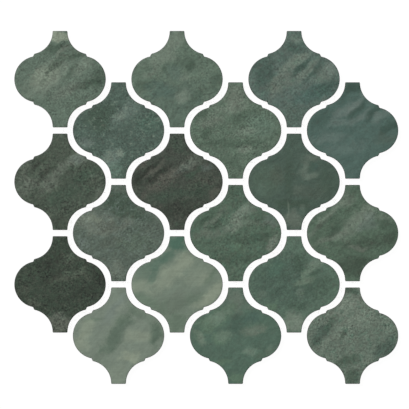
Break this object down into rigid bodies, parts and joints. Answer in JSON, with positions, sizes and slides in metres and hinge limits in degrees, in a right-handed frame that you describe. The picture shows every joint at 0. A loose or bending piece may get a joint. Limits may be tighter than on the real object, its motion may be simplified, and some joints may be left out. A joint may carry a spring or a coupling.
{
  "type": "arabesque mosaic tile sheet",
  "caption": "Mosaic sheet of staggered lantern-shaped arabesque tiles with a satin mottled green glaze, held at even joints by a backing mesh.",
  "frame": {"origin": "middle of the sheet at the underside of its backing mesh", "axes": "+X across the columns of tiles, +Y up the columns, +Z out of the glazed faces"},
  "size_m": [0.3064, 0.2818, 0.0064],
  "materials": {
    "mesh": "woven white fibreglass",
    "pale_sage_glaze": "satin glaze with cloudy patches and fine speckle",
    "grey_sage_glaze": "satin glaze with cloudy patches and fine speckle",
    "fern_glaze": "satin glaze with cloudy patches and fine speckle",
    "sea_glaze": "satin glaze with cloudy patches and fine speckle",
    "pine_glaze": "satin glaze with cloudy patches and fine speckle",
    "charcoal_glaze": "satin glaze with cloudy patches and fine speckle"
  },
  "bodies": {
    "root": {"backing_mesh": "mesh", "tile_row1_column1": "grey_sage_glaze", "tile_row1_column3": "fern_glaze", "tile_row1_column5": "sea_glaze", "tile_row2_column2": "sea_glaze", "tile_row2_column4": "fern_glaze", "tile_row2_column6": "sea_glaze", "tile_row3_column1": "pine_glaze", "tile_row3_column3": "charcoal_glaze", "tile_row3_column5": "pine_glaze", "tile_row4_column2": "fern_glaze", "tile_row4_column4": "fern_glaze", "tile_row4_column6": "fern_glaze", "tile_row5_column1": "charcoal_glaze", "tile_row5_column3": "pale_sage_glaze", "tile_row5_column5": "sea_glaze", "tile_row6_column2": "pale_sage_glaze", "tile_row6_column4": "sea_glaze", "tile_row6_column6": "grey_sage_glaze"}
  },
  "joints": []
}
